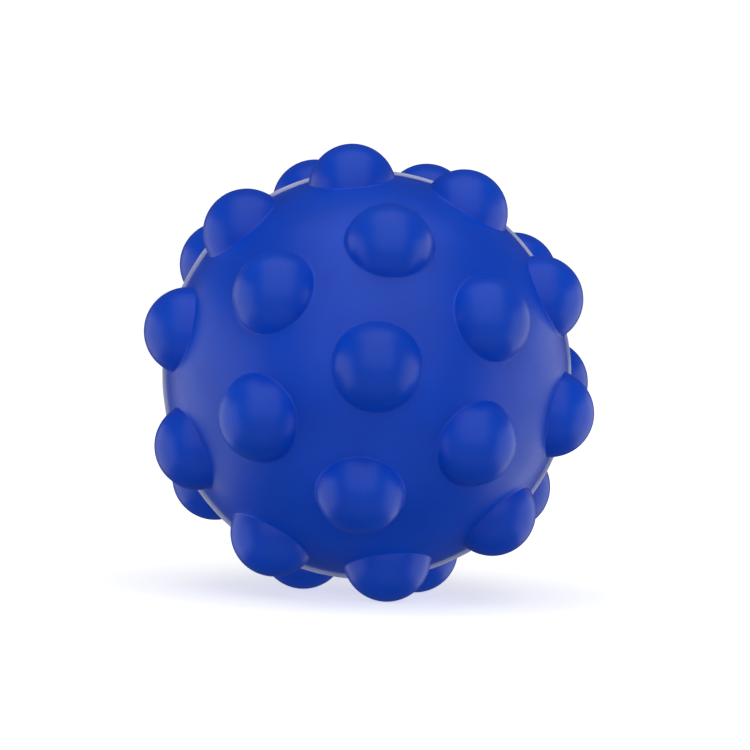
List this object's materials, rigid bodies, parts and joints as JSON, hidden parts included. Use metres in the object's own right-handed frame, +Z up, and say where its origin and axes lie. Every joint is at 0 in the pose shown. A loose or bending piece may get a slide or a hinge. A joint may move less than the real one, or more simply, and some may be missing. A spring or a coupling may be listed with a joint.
{
  "type": "stress ball",
  "caption": "Hollow silicone ball of glued half shells, covered all over with hollow domes that push in, stay in, and pop back out.",
  "frame": {"origin": "the ball's centre, on the seam plane and on the pole axis of the two halves", "axes": "+Z up with the ball standing on three dome tips, -Y towards the front half, whose pole leans up by about 4.5 degrees, +X to the right seen from the front"},
  "size_m": [0.0629, 0.0648, 0.0627],
  "materials": {
    "blue_silicone": "satin moulded silicone rubber",
    "clear_adhesive": "milky clear silicone adhesive"
  },
  "bodies": {
    "ball_body": {"front_shell": "blue_silicone", "back_shell": "blue_silicone", "seam_adhesive": "clear_adhesive"},
    "front_pole_dome": {"front_pole_dome": "blue_silicone"},
    "front_inner_dome_01": {"front_inner_dome_01": "blue_silicone"},
    "front_inner_dome_02": {"front_inner_dome_02": "blue_silicone"},
    "front_inner_dome_03": {"front_inner_dome_03": "blue_silicone"},
    "front_inner_dome_04": {"front_inner_dome_04": "blue_silicone"},
    "front_inner_dome_05": {"front_inner_dome_05": "blue_silicone"},
    "front_inner_dome_06": {"front_inner_dome_06": "blue_silicone"},
    "front_rim_dome_01": {"front_rim_dome_01": "blue_silicone"},
    "front_rim_dome_02": {"front_rim_dome_02": "blue_silicone"},
    "front_rim_dome_03": {"front_rim_dome_03": "blue_silicone"},
    "front_rim_dome_04": {"front_rim_dome_04": "blue_silicone"},
    "front_rim_dome_05": {"front_rim_dome_05": "blue_silicone"},
    "front_rim_dome_06": {"front_rim_dome_06": "blue_silicone"},
    "front_rim_dome_07": {"front_rim_dome_07": "blue_silicone"},
    "front_rim_dome_08": {"front_rim_dome_08": "blue_silicone"},
    "front_rim_dome_09": {"front_rim_dome_09": "blue_silicone"},
    "front_rim_dome_10": {"front_rim_dome_10": "blue_silicone"},
    "back_pole_dome": {"back_pole_dome": "blue_silicone"},
    "back_inner_dome_01": {"back_inner_dome_01": "blue_silicone"},
    "back_inner_dome_02": {"back_inner_dome_02": "blue_silicone"},
    "back_inner_dome_03": {"back_inner_dome_03": "blue_silicone"},
    "back_inner_dome_04": {"back_inner_dome_04": "blue_silicone"},
    "back_inner_dome_05": {"back_inner_dome_05": "blue_silicone"},
    "back_inner_dome_06": {"back_inner_dome_06": "blue_silicone"},
    "back_rim_dome_01": {"back_rim_dome_01": "blue_silicone"},
    "back_rim_dome_02": {"back_rim_dome_02": "blue_silicone"},
    "back_rim_dome_03": {"back_rim_dome_03": "blue_silicone"},
    "back_rim_dome_04": {"back_rim_dome_04": "blue_silicone"},
    "back_rim_dome_05": {"back_rim_dome_05": "blue_silicone"},
    "back_rim_dome_06": {"back_rim_dome_06": "blue_silicone"},
    "back_rim_dome_07": {"back_rim_dome_07": "blue_silicone"},
    "back_rim_dome_08": {"back_rim_dome_08": "blue_silicone"},
    "back_rim_dome_09": {"back_rim_dome_09": "blue_silicone"},
    "back_rim_dome_10": {"back_rim_dome_10": "blue_silicone"}
  },
  "joints": [
    {"name": "front_pole_pop", "type": "slide", "parent": "ball_body", "child": "front_pole_dome", "axis": [0, 0.9969, -0.0788], "range_m": [0, 0.0092]},
    {"name": "front_inner_pop_01", "type": "slide", "parent": "ball_body", "child": "front_inner_dome_01", "axis": [-0.5536, 0.7678, -0.3226], "range_m": [0, 0.0092]},
    {"name": "front_inner_pop_02", "type": "slide", "parent": "ball_body", "child": "front_inner_dome_02", "axis": [-0.0507, 0.7403, -0.6704], "range_m": [0, 0.0092]},
    {"name": "front_inner_pop_03", "type": "slide", "parent": "ball_body", "child": "front_inner_dome_03", "axis": [0.5029, 0.7609, -0.4101], "range_m": [0, 0.0092]},
    {"name": "front_inner_pop_04", "type": "slide", "parent": "ball_body", "child": "front_inner_dome_04", "axis": [0.5536, 0.8089, 0.198], "range_m": [0, 0.0092]},
    {"name": "front_inner_pop_05", "type": "slide", "parent": "ball_body", "child": "front_inner_dome_05", "axis": [0.0507, 0.8364, 0.5458], "range_m": [0, 0.0092]},
    {"name": "front_inner_pop_06", "type": "slide", "parent": "ball_body", "child": "front_inner_dome_06", "axis": [-0.5029, 0.8158, 0.2855], "range_m": [0, 0.0092]},
    {"name": "front_rim_pop_01", "type": "slide", "parent": "ball_body", "child": "front_rim_dome_01", "axis": [-0.8756, 0.2174, -0.4314], "range_m": [0, 0.0092]},
    {"name": "front_rim_pop_02", "type": "slide", "parent": "ball_body", "child": "front_rim_dome_02", "axis": [-0.4656, 0.1831, -0.8658], "range_m": [0, 0.0092]},
    {"name": "front_rim_pop_03", "type": "slide", "parent": "ball_body", "child": "front_rim_dome_03", "axis": [0.1222, 0.1743, -0.9771], "range_m": [0, 0.0092]},
    {"name": "front_rim_pop_04", "type": "slide", "parent": "ball_body", "child": "front_rim_dome_04", "axis": [0.6633, 0.1944, -0.7227], "range_m": [0, 0.0092]},
    {"name": "front_rim_pop_05", "type": "slide", "parent": "ball_body", "child": "front_rim_dome_05", "axis": [0.9511, 0.2358, -0.1998], "range_m": [0, 0.0092]},
    {"name": "front_rim_pop_06", "type": "slide", "parent": "ball_body", "child": "front_rim_dome_06", "axis": [0.8756, 0.2825, 0.3919], "range_m": [0, 0.0092]},
    {"name": "front_rim_pop_07", "type": "slide", "parent": "ball_body", "child": "front_rim_dome_07", "axis": [0.4656, 0.3169, 0.8263], "range_m": [0, 0.0092]},
    {"name": "front_rim_pop_08", "type": "slide", "parent": "ball_body", "child": "front_rim_dome_08", "axis": [-0.1222, 0.3256, 0.9376], "range_m": [0, 0.0092]},
    {"name": "front_rim_pop_09", "type": "slide", "parent": "ball_body", "child": "front_rim_dome_09", "axis": [-0.6633, 0.3055, 0.6831], "range_m": [0, 0.0092]},
    {"name": "front_rim_pop_10", "type": "slide", "parent": "ball_body", "child": "front_rim_dome_10", "axis": [-0.9511, 0.2642, 0.1602], "range_m": [0, 0.0092]},
    {"name": "back_pole_pop", "type": "slide", "parent": "ball_body", "child": "back_pole_dome", "axis": [0, -0.9969, 0.0788], "range_m": [0, 0.0092]},
    {"name": "back_inner_pop_01", "type": "slide", "parent": "ball_body", "child": "back_inner_dome_01", "axis": [-0.4952, -0.8167, -0.2963], "range_m": [0, 0.0092]},
    {"name": "back_inner_pop_02", "type": "slide", "parent": "ball_body", "child": "back_inner_dome_02", "axis": [0.064, -0.8363, -0.5445], "range_m": [0, 0.0092]},
    {"name": "back_inner_pop_03", "type": "slide", "parent": "ball_body", "child": "back_inner_dome_03", "axis": [0.5591, -0.808, -0.1859], "range_m": [0, 0.0092]},
    {"name": "back_inner_pop_04", "type": "slide", "parent": "ball_body", "child": "back_inner_dome_04", "axis": [0.4952, -0.76, 0.421], "range_m": [0, 0.0092]},
    {"name": "back_inner_pop_05", "type": "slide", "parent": "ball_body", "child": "back_inner_dome_05", "axis": [-0.064, -0.7404, 0.6691], "range_m": [0, 0.0092]},
    {"name": "back_inner_pop_06", "type": "slide", "parent": "ball_body", "child": "back_inner_dome_06", "axis": [-0.5591, -0.7687, 0.3105], "range_m": [0, 0.0092]},
    {"name": "back_rim_pop_01", "type": "slide", "parent": "ball_body", "child": "back_rim_dome_01", "axis": [-0.7832, -0.2948, -0.5475], "range_m": [0, 0.0092]},
    {"name": "back_rim_pop_02", "type": "slide", "parent": "ball_body", "child": "back_rim_dome_02", "axis": [-0.2991, -0.3225, -0.898], "range_m": [0, 0.0092]},
    {"name": "back_rim_pop_03", "type": "slide", "parent": "ball_body", "child": "back_rim_dome_03", "axis": [0.2991, -0.3225, -0.898], "range_m": [0, 0.0092]},
    {"name": "back_rim_pop_04", "type": "slide", "parent": "ball_body", "child": "back_rim_dome_04", "axis": [0.7832, -0.2948, -0.5475], "range_m": [0, 0.0092]},
    {"name": "back_rim_pop_05", "type": "slide", "parent": "ball_body", "child": "back_rim_dome_05", "axis": [0.968, -0.25, 0.0198], "range_m": [-0.0092, 0]},
    {"name": "back_rim_pop_06", "type": "slide", "parent": "ball_body", "child": "back_rim_dome_06", "axis": [0.7832, -0.2052, 0.587], "range_m": [0, 0.0092]},
    {"name": "back_rim_pop_07", "type": "slide", "parent": "ball_body", "child": "back_rim_dome_07", "axis": [0.2991, -0.1774, 0.9376], "range_m": [0, 0.0092]},
    {"name": "back_rim_pop_08", "type": "slide", "parent": "ball_body", "child": "back_rim_dome_08", "axis": [-0.2991, -0.1774, 0.9376], "range_m": [0, 0.0092]},
    {"name": "back_rim_pop_09", "type": "slide", "parent": "ball_body", "child": "back_rim_dome_09", "axis": [-0.7832, -0.2052, 0.587], "range_m": [0, 0.0092]},
    {"name": "back_rim_pop_10", "type": "slide", "parent": "ball_body", "child": "back_rim_dome_10", "axis": [-0.968, -0.25, 0.0198], "range_m": [0, 0.0092]}
  ]
}
